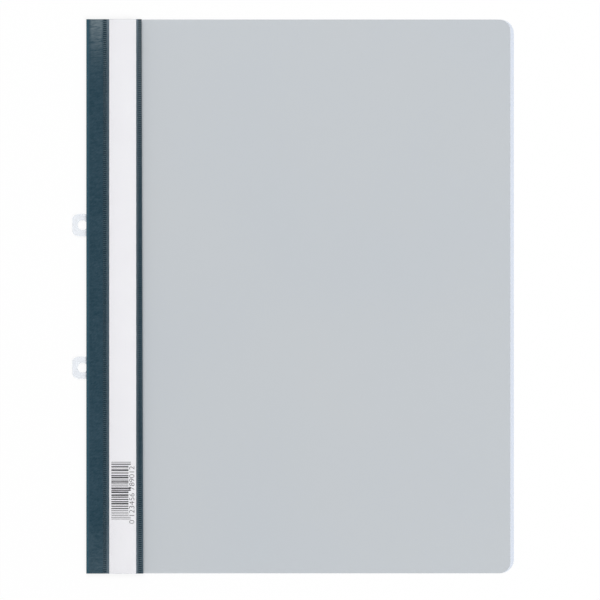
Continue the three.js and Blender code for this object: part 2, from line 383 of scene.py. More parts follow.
def dark_film_material(name, colour_low, colour_high, roughness, bends=False):
    """Embossed film between two colours. What it returns lets painted highlights be laid over the
    colour.
    """
    material, tree, shader = new_material(name)
    wrinkles = noise(tree, object_place(tree, (2.9, 1, 1), 0, bends), 700.0, 4.0, 0.6)
    creases = noise(tree, object_place(tree, (2.6, 1, 1), SLANT, bends), 1500.0, 2.0)
    patches = noise(tree, object_place(tree, bends=bends), 45.0, 3.0)
    pebbles = add_node(
        tree, "ShaderNodeTexVoronoi", {"feature": "DISTANCE_TO_EDGE"},
        Vector=object_place(tree, bends=bends), Scale=1600.0,
    ).outputs["Distance"]
    mesh = spread(tree, pebbles, 0.0, 1.0, 0.0, 0.25)
    bump(tree, shader, weighted(tree, (wrinkles, 1.8), (creases, 1.6), (mesh, 0.8)), 0.07 * MM)
    mottle = weighted(tree, (patches, 0.35), (wrinkles, 0.5), (creases, 0.55))
    colour = colour_between(tree, spread(tree, mottle, 0, 1, 0.54, 0.86), colour_low, colour_high)
    feed_all(
        tree, shader, Base_Color=colour, Specular_IOR_Level=0.16,
        Roughness=spread(tree, wrinkles, roughness + 0.08, roughness - 0.06),
    )
    return material, tree, shader, colour, wrinkles

# %% [markdown]
# ## Painted highlights on the dark film
#
# A painted highlight makes the strip pale at its upper end, between the fold and the seam, and a
# little at its lower end. Along the fold a painted highlight, standing for light caught by the curve,
# turns the film a clearer blue. Beside the label a painted glint makes it paler, most of all at the
# top. Each painted highlight is a share that depends on the place on the strip, and the grain breaks
# its edge up.

# %% Dark film with painted highlights
# Painted highlight at the strip's upper end, between the fold and the seam, and a little at its lower
# end.
END_HIGHLIGHT_COLOUR = (0.140, 0.186, 0.212)
END_HIGHLIGHT_BAND = (2.2 * MM, 9.2 * MM)
END_HIGHLIGHT_SOFTNESS = 0.9 * MM
LESS_HIGHLIGHT_NEAR_FOLD = (2 * MM, 8 * MM)
TOP_HIGHLIGHT_START_Y = 108 * MM
BOTTOM_HIGHLIGHT_Y = (-152 * MM, -125 * MM)
# Painted glint on the film beside the label, strongest at the top.
LABEL_EDGE_GLINT_COLOUR = (0.100, 0.148, 0.186)
LABEL_EDGE_GLINT_BANDS = ((11.5 * MM, 13.0 * MM), (28.1 * MM, 29.2 * MM))
LABEL_EDGE_GLINT_SOFTNESS = 0.2 * MM
# Painted highlight along the fold, standing for light that the film's curve catches.
FOLD_HIGHLIGHT_COLOUR = (0.026, 0.085, 0.120)
FOLD_HIGHLIGHT_FADE = (0.6 * MM, 2.2 * MM)

dark_film, tree, shader, colour, wrinkles = dark_film_material(
    "dark embossed film", (0.007, 0.038, 0.060), (0.025, 0.062, 0.090), 0.42, bends=True
)
from_fold = maths(tree, "SUBTRACT", place_along(tree, "X", bends=True), SPINE_X)
height_up = place_along(tree, "Y", bends=True)
near_top = maths(tree, "POWER", spread(tree, height_up, 0, 1, TOP_HIGHLIGHT_START_Y, HALF_HEIGHT), 3.2)
near_bottom = spread(tree, height_up, 1, 0, *BOTTOM_HIGHLIGHT_Y)


def band(ends, soft):
    """1 between two distances from the fold and 0 outside them, with soft ends."""
    low, high = ends
    return maths(
        tree, "MULTIPLY",
        spread(tree, from_fold, 0, 1, low - soft, low + soft),
        spread(tree, from_fold, 1, 0, high - soft, high + soft),
    )


# The painted highlight at both ends of the strip, with fine streaks that break up its edge.
away_from_fold = spread(tree, from_fold, 0.75, 1, *LESS_HIGHLIGHT_NEAR_FOLD)
top_highlight_mask = maths(tree, "MULTIPLY", band(END_HIGHLIGHT_BAND, END_HIGHLIGHT_SOFTNESS), away_from_fold)
painted_end_highlight = weighted(tree, (maths(tree, "MULTIPLY", near_top, top_highlight_mask), 1.35), (near_bottom, 0.16))
fine_lines = noise(tree, object_place(tree, (5, 1, 1), 0.1, bends=True), 1300.0, 3.0, 0.6)
streaks = spread(tree, weighted(tree, (fine_lines, 0.7), (wrinkles, 0.3)), 0.25, 1.3, 0.36, 0.64)
colour = tinted(tree, maths(tree, "MULTIPLY", painted_end_highlight, streaks), colour, END_HIGHLIGHT_COLOUR)

# A painted glint beside the label: strongest at the top, less at the bottom and faint between.
beside_label = maths(tree, "ADD", *[band(ends, LABEL_EDGE_GLINT_SOFTNESS) for ends in LABEL_EDGE_GLINT_BANDS])
paleness = weighted(tree, (near_top, 0.95), (near_bottom, 0.45), (1, 0.18))
colour = tinted(tree, maths(tree, "MULTIPLY", beside_label, paleness), colour, LABEL_EDGE_GLINT_COLOUR)
# A painted highlight along the fold.
colour = tinted(tree, spread(tree, from_fold, 1, 0, *FOLD_HIGHLIGHT_FADE), colour, FOLD_HIGHLIGHT_COLOUR)
feed_all(tree, shader, Base_Color=colour)

weld_mark = dark_film_material("pressed weld", (0.003, 0.021, 0.036), (0.006, 0.028, 0.046), 0.34)[0]
print("dark film materials made")

# %% [markdown]
# ## Ridges between the teeth
#
# The weld tool melts the clear film into the dark one under each tooth, and leaves a ridge between
# the teeth. So a seam shows dark bites and pale ridges by turns. The ridges are real, and their pale
# colour is a painted highlight. It is strongest on the seam away from the spine, at its upper end. It
# fades out down the folder and comes back a little at the lower end.

# %% Ridge material
# Painted highlight on the weld ridges: its colour, and where it is strongest.
RIDGE_HIGHLIGHT_COLOUR = (0.180, 0.214, 0.230)
RIDGE_HIGHLIGHT_ACROSS_X = (SPINE_X + 15 * MM, SPINE_X + 25 * MM)
RIDGE_HIGHLIGHT_TOP_Y = (60 * MM, 150 * MM)
RIDGE_HIGHLIGHT_BOTTOM_Y = (-150 * MM, -100 * MM)

weld_ridge, tree, shader, colour, wrinkles = dark_film_material(
    "weld ridge with painted highlight", (0.026, 0.066, 0.090), (0.048, 0.092, 0.120), 0.34
)
# The painted highlight is strongest at the upper end of the far seam and comes back a little at the
# lower end.
far_seam = spread(tree, place_along(tree, "X"), 0.35, 1, *RIDGE_HIGHLIGHT_ACROSS_X)
upper_part = spread(tree, place_along(tree, "Y"), 0.05, 1, *RIDGE_HIGHLIGHT_TOP_Y)
lower_part = spread(tree, place_along(tree, "Y"), 0.3, 0, *RIDGE_HIGHLIGHT_BOTTOM_Y)
share_with_painted_light = weighted(tree, (maths(tree, "MULTIPLY", far_seam, upper_part), 1), (lower_part, 1))
share_with_painted_light = maths(tree, "MULTIPLY", share_with_painted_light, spread(tree, wrinkles, 0.7, 1.1))
feed_all(tree, shader, Base_Color=tinted(tree, share_with_painted_light, colour, RIDGE_HIGHLIGHT_COLOUR))
print("ridge material made")

# %% [markdown]
# ## Grey film
#
# The back cover is stiff film with a fine, even matte grain. From a step away it is one calm grey,
# but the grey isn't dead flat: it drifts a little over the page, and the grain softens the light.

# %% Grey film material
GREY_COLOURS = ((0.560, 0.594, 0.628), (0.574, 0.602, 0.626))


def grey_film_material():
    """A calm matte grey with a slow drift and a fine grain."""
    material, tree, shader = new_material("grey matte film")
    place = object_place(tree)
    drift = noise(tree, place, 9.0, 2.0)
    grain = noise(tree, place, 3500.0, 2.0)
    feed_all(
        tree, shader, Base_Color=colour_between(tree, spread(tree, drift, 0, 1), *GREY_COLOURS),
        Roughness=spread(tree, grain, 0.42, 0.52),
    )
    bump(tree, shader, grain, 0.004 * MM)
    return material


grey_film = grey_film_material()
print("grey film material made")

# %% [markdown]
# ## Clear film
#
# Clear stiff film lets nearly all light through and mirrors a little, more so at a low angle. Real
# refraction isn't needed for flat film a quarter of a millimetre thick, because it shifts nothing
# that the eye can see. So the film is a mix of a Transparent shader and a glossy one. The glossy
# share grows with the fifth power of the angle, which is how a smooth surface mirrors, and Layer
# Weight gives that angle alike on both faces. Past the grey cover, and round its corners, the rim
# is a painted bluish shade with a little painted edge glow: there the share follows the distance
# from the middle of each round corner.

# %% Clear film material
GLOSS_FACING = 0.028
GREY_CORNER_RADIUS = 6.2 * MM
GREY_EDGE_X = box["back_cover"][1].x
RIM_SOFTNESS = 0.2 * MM
# The rim past the grey cover: painted bluish shade with a little painted edge glow.
RIM_SHADE_SHARE = 0.23
RIM_SHADE_COLOUR = (0.43, 0.55, 0.78)
CLEAR_COLOURS = ((0.58, 0.60, 0.62), (0.60, 0.62, 0.64))


def distance_into_corner(tree):
    """How far the point lies from a rectangle drawn inside the grey cover by its corner radius."""
    beyond = []
    for axis, limit in (("X", GREY_EDGE_X), ("Y", HALF_HEIGHT)):
        along_axis = maths(tree, "ABSOLUTE", place_along(tree, axis))
        past = maths(tree, "SUBTRACT", along_axis, limit - GREY_CORNER_RADIUS)
        beyond.append(maths(tree, "MAXIMUM", past, 0.0))
    squares = [maths(tree, "POWER", part, 2.0) for part in beyond]
    return maths(tree, "SQRT", maths(tree, "ADD", *squares))


def clear_film_material():
    """See-through film that mirrors at a low angle, with a painted bluish shade and edge glow past the
    grey cover.
    """
    material, tree, shader = new_material("clear glossy film")
    waves = noise(tree, object_place(tree), 14.0, 2.0)
    scratches = noise(tree, object_place(tree, (1, 20, 1)), 900.0, 2.0)
    past_grey = spread(
        tree, distance_into_corner(tree), 0, 1,
        GREY_CORNER_RADIUS - RIM_SOFTNESS, GREY_CORNER_RADIUS + RIM_SOFTNESS,
    )
    plain = colour_between(tree, spread(tree, waves, 0, 1), *CLEAR_COLOURS)
    feed_all(
        tree, shader, Base_Color=tinted(tree, past_grey, plain, RIM_SHADE_COLOUR),
        Roughness=spread(tree, scratches, 0.10, 0.16),
    )
    bump(tree, shader, waves, 0.02 * MM)
    through = add_node(tree, "ShaderNodeBsdfTransparent", Color=(0.995, 0.996, 0.997, 1))
    angle = add_node(tree, "ShaderNodeLayerWeight", Blend=0.5).outputs["Facing"]
    mirror = maths(tree, "MULTIPLY", maths(tree, "POWER", angle, 5.0), 1 - GLOSS_FACING)
    # Past the grey cover the share adds painted shade with a little edge glow.
    share_with_painted_light = spread(tree, past_grey, GLOSS_FACING, RIM_SHADE_SHARE, 0, 1)
    show_mix(tree, maths(tree, "ADD", share_with_painted_light, mirror), through, shader)
    return material


clear_film = clear_film_material()
print("clear film material made")

# %% [markdown]
# ## Milky film, card, ink and tinned metal
#
# The eyelets are milky film that glows a little where the floor shines through. The label is smooth
# card with a faint fibre. The tongue strip and its bar are thin tinned sheet, rolled in one
# direction, so their roughness is drawn out along the metal.

# %% The other materials
MILKY_COLOURS = ((0.92, 0.94, 0.97), (0.95, 0.965, 0.985))
CARD_COLOURS = ((0.900, 0.889, 0.915), (0.916, 0.907, 0.931))
INK_COLOURS = ((0.030, 0.028, 0.032), (0.065, 0.062, 0.068))
BLOTCH_DARKNESS = 0.88


def milky_film_material():
    """Half of the light goes through, and the rest meets a faintly cloudy film."""
    material, tree, shader = new_material("milky film")
    cloud = noise(tree, object_place(tree), 260.0, 3.0)
    feed_all(
        tree, shader, Base_Color=colour_between(tree, spread(tree, cloud, 0, 1), *MILKY_COLOURS),
        Roughness=spread(tree, cloud, 0.28, 0.4),
    )
    bump(tree, shader, cloud, 0.01 * MM)
    through = add_node(tree, "ShaderNodeBsdfTransparent", Color=(0.93, 0.95, 0.98, 1))
    show_mix(tree, 0.5, through, shader)
    return material


def card_material():
    """White card: the fibre is felt in the shine, and the shade wanders a little."""
    material, tree, shader = new_material("smooth white card")
    place = object_place(tree)
    fibre = noise(tree, place, 1800.0, 5.0, 0.65)
    shade = noise(tree, place, 60.0, 2.0)
    feed_all(
        tree, shader, Base_Color=colour_between(tree, spread(tree, shade, 0, 1), *CARD_COLOURS),
        Roughness=spread(tree, fibre, 0.7, 0.85), Specular_IOR_Level=0.3,
    )
    bump(tree, shader, fibre, 0.006 * MM)
    return material


def ink_material():
    """Dark ink with a speckle, as on card that drinks it unevenly."""
    material, tree, shader = new_material("grey printing ink")
    speckle = noise(tree, object_place(tree), 5000.0, 2.0)
    feed_all(
        tree, shader, Base_Color=colour_between(tree, spread(tree, speckle, 0, 1), *INK_COLOURS),
        Roughness=spread(tree, speckle, 0.55, 0.7),
    )
    return material


def tinned_material(name, colour):
    """Metal that was rolled along the piece, with blotches of a darker tone."""
    material, tree, shader = new_material(name)
    rolled = noise(tree, object_place(tree, (1, 25, 1)), 1500.0, 3.0)
    blotch = noise(tree, object_place(tree), 120.0, 3.0)
    darker = tuple(channel * BLOTCH_DARKNESS for channel in colour)
    feed_all(
        tree, shader, Base_Color=colour_between(tree, spread(tree, blotch, 0, 1), darker, colour),
        Roughness=spread(tree, rolled, 0.50, 0.62), Metallic=1.0,
    )
    bump(tree, shader, rolled, 0.0015 * MM)
    return material


milky_film = milky_film_material()
card = card_material()
ink = ink_material()
tongue_metal = tinned_material("tinned strip", (0.50, 0.51, 0.52))
bar_metal = tinned_material("pressed tinned sheet", (0.54, 0.54, 0.55))
print("materials in all:", len(bpy.data.materials))

# %% [markdown]
# ## Back cover
#
# The grey back cover is flat film with two round corners at the open edge. A grid works well for
# it: each column of points is shortened where the corner curves in, so the outline is round and
# every face stays a quad.

# %% Back cover
def column_places(left, right, radius, columns):
    """Places across a cover, packed closer where the round corners begin."""
    straight = np.linspace(left, right - radius, columns)
    turn = np.linspace(0, math.pi / 2, 14)[1:]
    return np.concatenate([straight, right - radius + radius * np.sin(turn)])


def half_height_at(places, right, radius):
    """Half the cover's height at each place, less what the corner takes away."""
    into = np.clip((places - (right - radius)) / radius, 0, 1)
    return HALF_HEIGHT - radius * (1 - np.sqrt(1 - into**2))


def cover_points(left, right, radius, columns, rows, height):
    """Points of a cover, with a height for each place across it."""
    places = column_places(left, right, radius, columns)
    halves = half_height_at(places, right, radius)
    share = np.linspace(-1, 1, rows)[:, None]
    x = np.broadcast_to(places, (rows, len(places)))
    z = np.broadcast_to(height(places), (rows, len(places)))
    return np.stack([x, share * halves, z], axis=-1)


back_low, back_high = box["back_cover"]
back_middle = (back_low.z + back_high.z) / 2
back_points = cover_points(
    back_low.x, back_high.x, GREY_CORNER_RADIUS, columns=30, rows=40,
    height=lambda places: np.full(places.shape, back_middle),
)
back_cover = add_object("back_film", grid_mesh("back_film", back_points), grey_film)
thicken(back_cover, back_high.z - back_low.z)
finished(back_cover, "back", "grey_film", "back_cover")

# %% [markdown]
# ## Dark spine film
#
# On the real folder this is one piece. It lies on the back cover, is welded to it along two seams,
# rises between them over the fastener, turns up at the spine and comes back over the front. Its
# section is drawn once, and carried along the spine. Where the real front cover opens, the film
# bends with it.

# %% Section of the dark film
BACK_TOP = back_high.z
SEAM_Z = BACK_TOP + LAYER_GAP + DARK_FILM / 2
RAISED_Z = box["filing_strip"][0].z - LAYER_GAP - DARK_FILM / 2
FLAT_Z = DARK_FILM / 2
WALL_X = SPINE_X + DARK_FILM / 2
FOLD_START = 1.8 * MM
STEP_START = 0.3 * MM
STEP_LENGTH = 1.0 * MM
TOP_FOLD_START = (0.5 * MM, 0.8 * MM)
back_edge_x = SECOND_SEAM_END_X - BACK_FLAP_SHORTER
back_seam_x = POCKET_END_X - BACK_FLAP_SHORTER
step_x = FIRST_SEAM_X - STEP_START

section = rounded_line(
    [
        (back_edge_x, SEAM_Z),
        (back_seam_x, SEAM_Z),
        (back_seam_x - SEAM_RISE, RAISED_Z),
        (POCKET_START_X + SEAM_RISE, RAISED_Z),
        (POCKET_START_X, SEAM_Z),
        (step_x, SEAM_Z),
        (step_x - STEP_LENGTH, FLAT_Z),
        (SPINE_X + FOLD_START, FLAT_Z),
        (WALL_X + 0.1 * MM, FLAT_Z),
        (WALL_X, FOLD_START),
        (WALL_X, FLAP_Z - TOP_FOLD_START[0]),
        (WALL_X, FLAP_Z),
        (WALL_X + TOP_FOLD_START[1], FLAP_Z),
        *[(SPINE_X + distance * MM, FLAP_Z) for distance in (4, 10, 20)],
        (SPINE_X + FLAP_WIDTH_TOP, FLAP_Z),
    ],
    rounds=3,
)
print("points in the section:", len(section))

# %% [markdown]
# ## The dark film, carried along the spine
#
# The section is repeated along the spine, like film that runs off a roll. Only the free edge of the
# front flap isn't straight: it was cut a little aslant and is wider at the bottom. A steep power of
# the distance from the fold moves that edge alone. The back flap is cut a little shorter, and so it
# stays hidden under the front one.

# %% Dark film piece
FILM_ROWS = 200
EDGE_POWER = 4
along = np.linspace(-HALF_HEIGHT, HALF_HEIGHT, FILM_ROWS)
film_points = np.zeros((FILM_ROWS, len(section), 3))
film_points[:, :, 0] = section[:, 0]
film_points[:, :, 1] = along[:, None]
film_points[:, :, 2] = section[:, 1]
on_flap = section[:, 1] > FLAP_Z - 0.01 * MM
share_out = np.where(on_flap, (section[:, 0] - SPINE_X) / FLAP_WIDTH_TOP, 0).clip(0, 1)
slant = (HALF_HEIGHT - along) / (2 * HALF_HEIGHT) * (FLAP_WIDTH_BOTTOM - FLAP_WIDTH_TOP)
film_points[:, :, 0] += slant[:, None] * share_out**EDGE_POWER
spine_film = add_object("spine_film", grid_mesh("spine_film", film_points), dark_film)
thicken(spine_film, DARK_FILM)
print("faces in the dark film:", len(spine_film.data.polygons))

# %% [markdown]
# ## Slots for the eyelets and the tongues
#
# The eyelet tabs leave the folder through two slots in the spine wall, and the tongues come up
# through two slots in the back flap. A punch is a boolean cut with a block, as in the workshop.

# %% Punch the slots
HOLE_SPACING = 80 * MM
HOLE_OFFSETS = (-HOLE_SPACING / 2, HOLE_SPACING / 2)
SLOT_GAP = 0.3 * MM
EYELET_HEIGHT = 12.5 * MM
TONGUE_SLOT_WIDTH = 0.9 * MM
PUNCH_DEPTH = 1.2 * MM
tongue_low, tongue_high = box["tongue_strip"]
FASTENER_X = (tongue_low.x + tongue_high.x) / 2
strip_low, strip_high = box["filing_strip"]
STRIP_FILM = strip_high.z - strip_low.z


def punch(piece, centre, size):
    """Cuts a block out of a piece."""
    block = bpy.data.objects.new("punch", block_mesh("punch", centre, size))
    bpy.context.scene.collection.objects.link(block)
    cut = piece.modifiers.new("cut", "BOOLEAN")
    cut.object = block
    cut.solver = "EXACT"
    settle(piece)
    bpy.data.objects.remove(block)


eyelet_slot_size = (PUNCH_DEPTH, EYELET_HEIGHT + 2 * SLOT_GAP, STRIP_FILM + 2 * SLOT_GAP)
tongue_slot_size = (tongue_high.x - tongue_low.x + 2 * SLOT_GAP, TONGUE_SLOT_WIDTH, PUNCH_DEPTH)
for offset in HOLE_OFFSETS:
    punch(spine_film, (WALL_X, offset, (strip_low.z + strip_high.z) / 2), eyelet_slot_size)
    punch(spine_film, (FASTENER_X, offset, RAISED_Z), tongue_slot_size)
smooth_by_angle(spine_film)
print("faces with the slots:", len(spine_film.data.polygons))

# %% [markdown]
# ## The crease
#
# When the cover opens, the film turns at the upper end of the spine wall. The piece notes every
# point's place at rest, for the embossed grain to read.

# %% Note the dark film's places at rest
crease = frame["joints"][0]
print("the cover turns about", crease["name"])
keep_rest_place(spine_film)
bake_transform(spine_film)
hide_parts("spine_back", "spine_front")

# %% [markdown]
# ## Clear front cover
#
# The clear film is pressed onto the flap at two seams, lifts over the label between them, and then
# falls slowly onto the back cover. Its height is a formula of the place across the folder: one
# smooth step up, one down, and one long step to the back cover.

# %% Front cover
front_low, front_high = box["front_cover"]
CLEAR_FILM = 0.25 * MM
CLEAR_CORNER_RADIUS = 7.8 * MM
FALL_START_X = SPINE_X + 32.2 * MM
FALL_LENGTH = 88 * MM
clear_seam_z = box["spine_front"][1].z + LAYER_GAP + CLEAR_FILM / 2
clear_raised_z = front_high.z - CLEAR_FILM / 2
clear_rest_z = front_low.z + CLEAR_FILM / 2


def smooth_step(value, start, end):
    """Goes from 0 to 1 between two places, with a soft start and a soft end."""
    share = np.clip((value - start) / (end - start), 0, 1)
    return share * share * (3 - 2 * share)


def clear_height(places):
    """Height of the clear film's middle at each place across the folder."""
    up = smooth_step(places, POCKET_START_X, POCKET_START_X + SEAM_RISE)
    down = smooth_step(places, POCKET_END_X - SEAM_RISE, POCKET_END_X)
    fall = smooth_step(places, FALL_START_X, FALL_START_X + FALL_LENGTH)
    raised = clear_seam_z + (clear_raised_z - clear_seam_z) * (up - down)
    return raised + (clear_rest_z - clear_seam_z) * fall


front_points = cover_points(
    front_low.x, front_high.x, CLEAR_CORNER_RADIUS, columns=240, rows=60, height=clear_height
)
front_cover = add_object("front_film", grid_mesh("front_film", front_points), clear_film)
thicken(front_cover, CLEAR_FILM)
finished(front_cover, "front", "clear_film", "front_cover")

# %% [markdown]
# ## Label
#
# A card strip fills the pocket between the seams. It is a plain flat strip with crisp cut edges, so
# one block does, and a very small bevel breaks its edges as a cutter leaves them.

# %% Label
LABEL_RIM = 0.03 * MM
label_low, label_high = box["label_insert"]
label_mesh = block_mesh("label_card", (label_low + label_high) / 2, label_high - label_low)
label = add_object("label_card", label_mesh, card)
ease_edges(label, LABEL_RIM)
smooth_by_angle(label)
finished(label, "front", "label_card", "label_insert")

# %% [markdown]
# ## Weld ribs with Geometry Nodes
#
# The weld tool has teeth, and it leaves a row of small ribs along each seam, hundreds of them.
# They are all alike and follow a line, which is what Geometry Nodes are for. The tree lays points
# along the seam, puts one rib on each, varies their size a little from a fixed seed, and then makes
# real faces of them.

# %% Geometry Nodes helpers
def new_geometry_tree(name, inputs):
    """A tree with named inputs, each given as a name with its socket type and first value."""
    tree = bpy.data.node_groups.new(name, "GeometryNodeTree")
    for input_name, (kind, value) in inputs.items():
        socket = tree.interface.new_socket(input_name, in_out="INPUT", socket_type=kind)
        socket.default_value = value
    tree.interface.new_socket("Geometry", in_out="OUTPUT", socket_type="NodeSocketGeometry")
    return tree, tree.nodes.new("NodeGroupInput").outputs


def line_of_points(tree, count, **inputs):
    """A line of points, each an offset away from the one before it."""
    line = add_node(
        tree, "GeometryNodeMeshLine", {"mode": "OFFSET", "count_mode": "TOTAL"}, Count=count, **inputs
    )
    return line.outputs["Mesh"]


def chance(tree, kind, low, high, seed):
    """A random value that is the same each run. The node has a pair of inputs for each kind of
    number: the pair from 2 on takes decimals, and the pair from 4 on takes whole numbers."""
    first_input, output = {"FLOAT": (2, 1), "INT": (4, 2)}[kind]
    node = add_node(tree, "FunctionNodeRandomValue", {"data_type": kind}, Seed=seed)
    feed(tree, node.inputs[first_input], low)
    feed(tree, node.inputs[first_input + 1], high)
    return node.outputs[output]


def end_tree(tree, points, shape, size, material):
    """Puts a shape on each point, makes real faces of the copies and hands them over."""
    placed = add_node(
        tree, "GeometryNodeInstanceOnPoints", Points=points, Instance=shape, Scale=size
    )
    real = add_node(tree, "GeometryNodeRealizeInstances", Geometry=placed.outputs["Instances"])
    dressed = add_node(
        tree, "GeometryNodeSetMaterial", Geometry=real.outputs["Geometry"], Material=material
    )
    leave = tree.nodes.new("NodeGroupOutput")
    tree.links.new(dressed.outputs["Geometry"], leave.inputs["Geometry"])


def grow(name, tree, values, material):
    """Runs a tree on an empty mesh with these inputs, and keeps the result as plain faces."""
    piece = add_object(name, bpy.data.meshes.new(name), material)
    modifier = piece.modifiers.new("grow", "NODES")
    modifier.node_group = tree
    for item in tree.interface.items_tree:
        if item.item_type == "SOCKET" and item.in_out == "INPUT":
            modifier[item.identifier] = values.get(item.name, item.default_value)
    return smooth_by_angle(settle(piece), 50)

# %% [markdown]
# ## One tree for all the ribs
#
# The tree has named inputs for the number of ribs, the first place, the step, the size of one rib,
# and how much the ribs differ. A rib is a lying cylinder, sunk half into the film. It has only ten
# sides, because there are hundreds of ribs and each is narrower than a millimetre.

# %% The rib tree
RIB_COUNT = 276
RIB_PITCH = 2 * HALF_HEIGHT / RIB_COUNT
BITE_SIZE = (1.7 * MM, 0.76 * MM, 0.16 * MM)
RIDGE_SIZE = (1.6 * MM, 0.44 * MM, 0.23 * MM)


def rib_tree(material):
    """A row of ribs along the spine, each a little smaller than its size by chance."""
    tree, given = new_geometry_tree(
        "weld ribs " + material.name,
        {
            "Count": ("NodeSocketInt", RIB_COUNT),
            "Start": ("NodeSocketVector", (0, 0, 0)),
            "Step": ("NodeSocketVector", (0, RIB_PITCH, 0)),
            "Rib Size": ("NodeSocketVector", BITE_SIZE),
            "Wear": ("NodeSocketFloat", 0.12),
            "Seed": ("NodeSocketInt", 3),
        },
    )
    points = line_of_points(
        tree, given["Count"], Start_Location=given["Start"], Offset=given["Step"]
    )
    rib = add_node(
        tree, "GeometryNodeMeshCylinder", {"fill_type": "NGON"}, Vertices=10, Radius=0.5, Depth=1.0
    )
    lying = add_node(
        tree, "GeometryNodeTransform", Geometry=rib.outputs["Mesh"], Rotation=(0, math.pi / 2, 0)
    )
    least = maths(tree, "SUBTRACT", 1.0, given["Wear"])
    share = chance(tree, "FLOAT", least, 1.0, given["Seed"])
    size = add_node(tree, "ShaderNodeVectorMath", {"operation": "SCALE"}, Scale=share)
    feed(tree, size.inputs[0], given["Rib Size"])
    end_tree(tree, points, lying.outputs["Geometry"], size.outputs["Vector"], material)
    return tree

# %% [markdown]
# ## Ribs on both covers
#
# Each seam gets a row of dark bites and a row of pale ridges that lie between them. The two jaws of
# the tool aren't in step: on the seam near the fold the teeth start three quarters of a pitch later.

# %% Ribs on the four seams
SPINE_SEAM_LATE = 0.75
EDGE_SEAM_SHIFT = 0.3 * MM
RIDGE_SEED = 8
bites = rib_tree(weld_mark)
ridges = rib_tree(weld_ridge)


def rib_row(name, body, centre_x, height, late=0.0):
    """A row of dark bites with pale ridges between them. Late is a share of the pitch."""
    count = RIB_COUNT - math.ceil(late)
    first_bite_y = -HALF_HEIGHT + (0.5 + late) * RIB_PITCH
    bite_values = {"Count": count, "Start": (centre_x, first_bite_y, height)}
    ridge_values = {
        "Count": count - 1,
        "Start": (centre_x, first_bite_y + RIB_PITCH / 2, height),
        "Rib Size": RIDGE_SIZE,
        "Seed": RIDGE_SEED,
    }
    finished(grow(name, bites, bite_values, weld_mark), body, "dark_film")
    finished(grow(name.replace("ribs", "ridges"), ridges, ridge_values, weld_ridge), body, "dark_film")


first_rib_x = FIRST_SEAM_X + SEAM_WIDTH / 2
second_rib_x = (POCKET_END_X + SECOND_SEAM_END_X) / 2
clear_top = clear_seam_z + CLEAR_FILM / 2
back_weld_top = SEAM_Z + DARK_FILM / 2
rib_row("front_ribs_spine", "front", first_rib_x, clear_top, SPINE_SEAM_LATE)
rib_row("front_ribs_edge", "front", second_rib_x - EDGE_SEAM_SHIFT, clear_top)
rib_row("back_ribs_spine", "back", first_rib_x, back_weld_top, SPINE_SEAM_LATE)
rib_row("back_ribs_edge", "back", second_rib_x - BACK_FLAP_SHORTER, back_weld_top)

# %% [markdown]
# ## A generic bar pattern on the label
#
# The label carries a small printed field of bars. The bars here are made up: a tree counts out bars
# and gaps of one to three units from a fixed seed, adds them up with Accumulate Field, and scales
# the whole to the field's length. The pairs of bars at both ends and in the middle reach out
# further, as guard bars do. The ink is a hair thicker than the card.

# %% The bar tree
BAR_FIELD_LOW = Vector((SPINE_X + 14.1 * MM, -125.0 * MM, 0))
BAR_FIELD_HIGH = Vector((SPINE_X + 23.7 * MM, -92.2 * MM, 0))
INK_HEIGHT = 0.012 * MM
ink_middle = label_high.z + INK_HEIGHT / 2
field_start = ((BAR_FIELD_LOW.x + BAR_FIELD_HIGH.x) / 2, BAR_FIELD_LOW.y, ink_middle)


